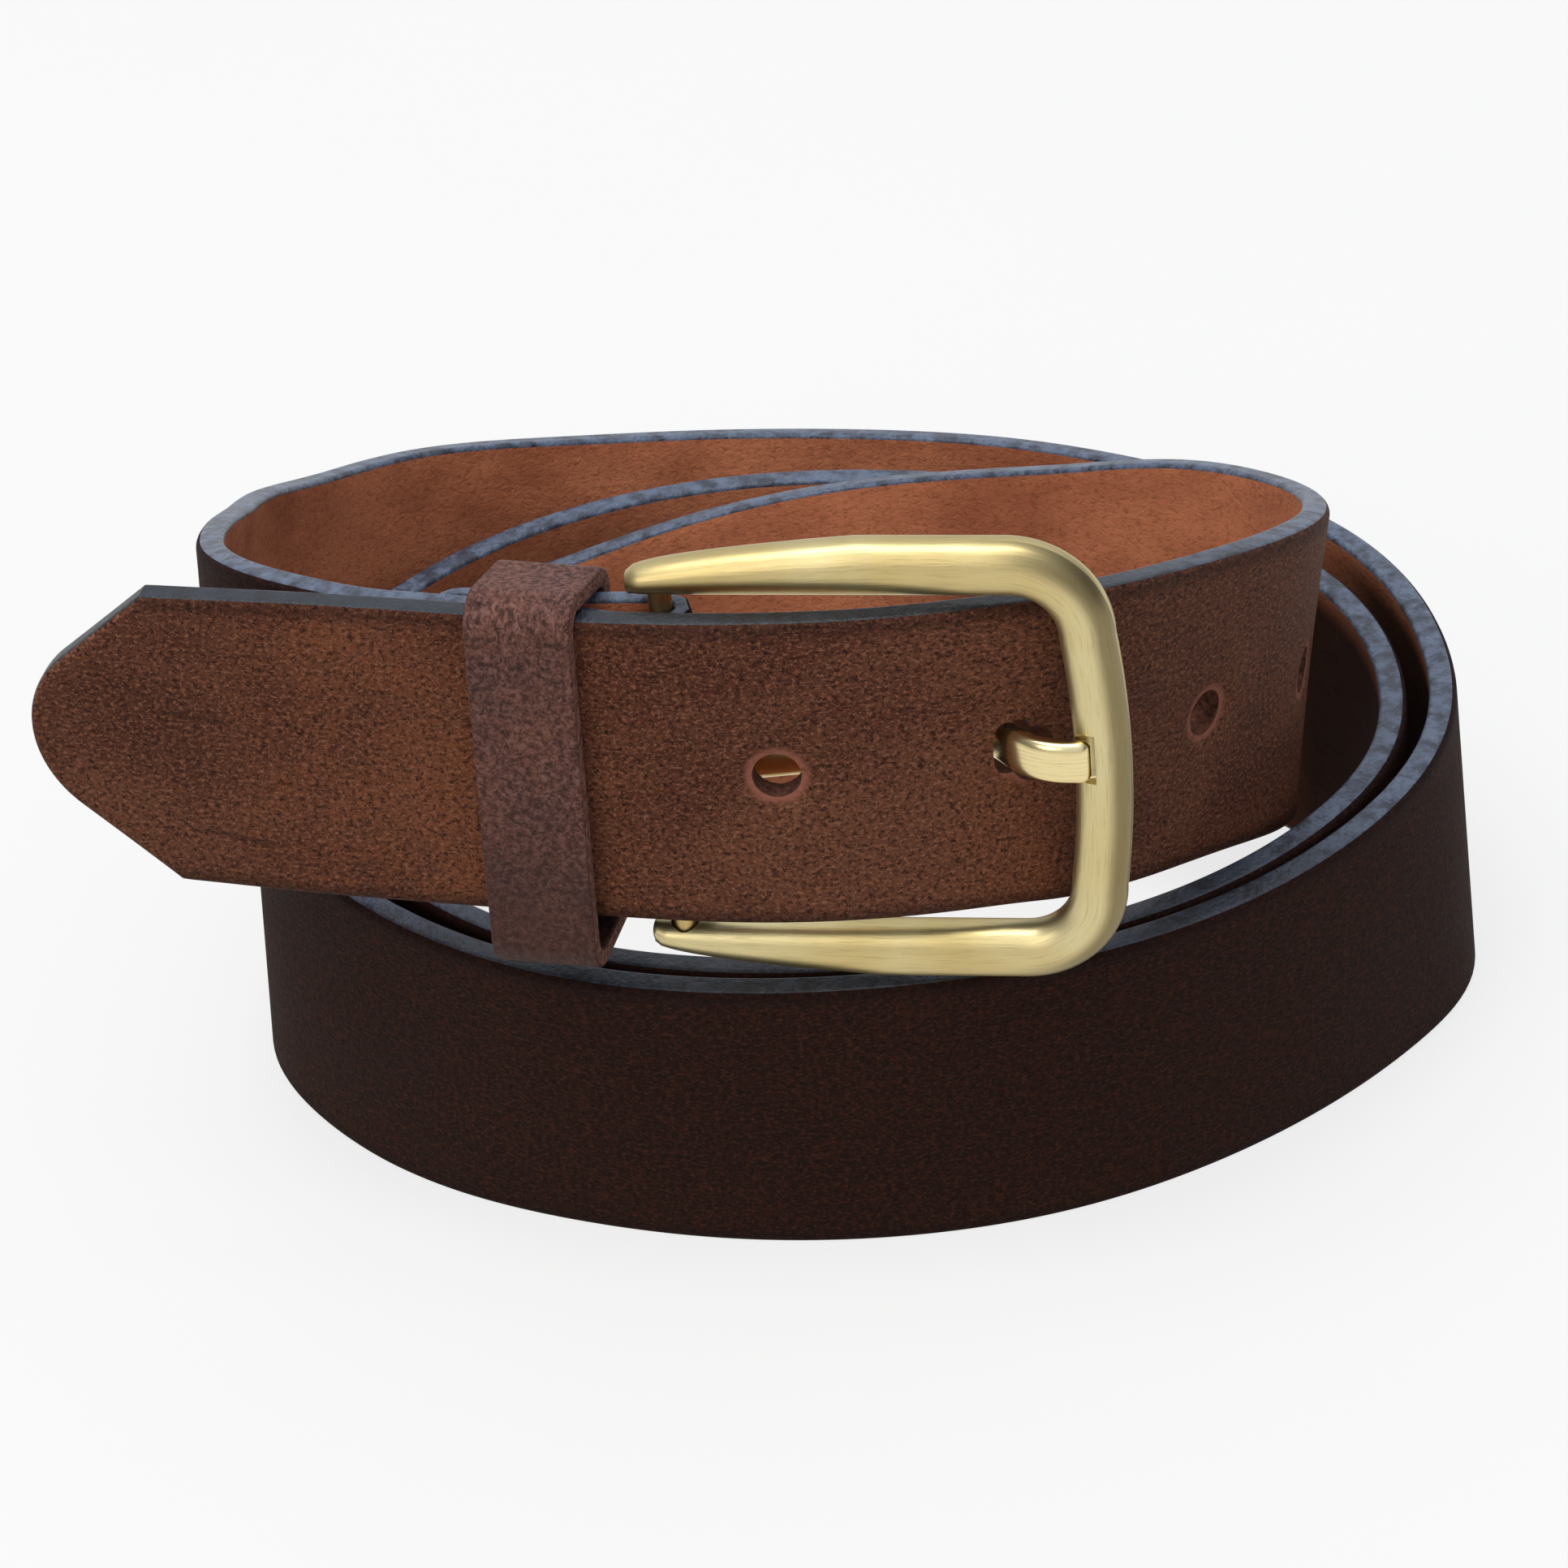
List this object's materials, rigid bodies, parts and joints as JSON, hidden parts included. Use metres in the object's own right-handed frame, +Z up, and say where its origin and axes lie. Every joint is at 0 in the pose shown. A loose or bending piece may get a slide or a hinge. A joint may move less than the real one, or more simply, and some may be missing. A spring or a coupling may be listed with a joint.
{
  "type": "leather belt",
  "caption": "Leather waist belt with a bowed brass frame buckle, fastened and coiled on its edge, with a loose keeper over the pointed tip.",
  "frame": {"origin": "middle of the belt's footprint, at the height of the surface it stands on", "axes": "+X towards the right of the coil seen from the buckle, the longest side; +Y away from the buckle; +Z up, the shortest side"},
  "size_m": [0.1502, 0.1272, 0.0861],
  "materials": {
    "strap_leather": "waxed full grain, painted edges",
    "keeper_leather": "pebbled grain, raw cut edges",
    "staple_steel": "plain wire",
    "antique_brass": "satin antique",
    "pin_brass": "satin antique",
    "prong_brass": "polished antique",
    "waxed_thread": "waxed linen"
  },
  "bodies": {
    "belt": {"strap": "strap_leather", "stitch_row_front": "waxed_thread", "stitch_row_rear": "waxed_thread"},
    "buckle": {"buckle_frame": "antique_brass", "heel_bar": "pin_brass"},
    "prong_body": {"prong": "prong_brass"},
    "keeper_body": {"keeper": "keeper_leather", "keeper_staple": "staple_steel"}
  },
  "joints": [
    {"name": "frame_swing", "type": "hinge", "parent": "belt", "child": "buckle", "pos_m": [-0.00984, -0.05158, 0.0598], "axis": [0, 0, -1], "range_deg": [-0.1, 0.8]},
    {"name": "prong_swing", "type": "hinge", "parent": "buckle", "child": "prong_body", "pos_m": [-0.00984, -0.05158, 0.0598], "axis": [0, 0, -1], "range_deg": [-0.3, 0.5]},
    {"name": "keeper_slide", "type": "slide", "parent": "belt", "child": "keeper_body", "axis": [0.9583, -0.2857, 0], "range_m": [-0.003, 0.001]}
  ]
}
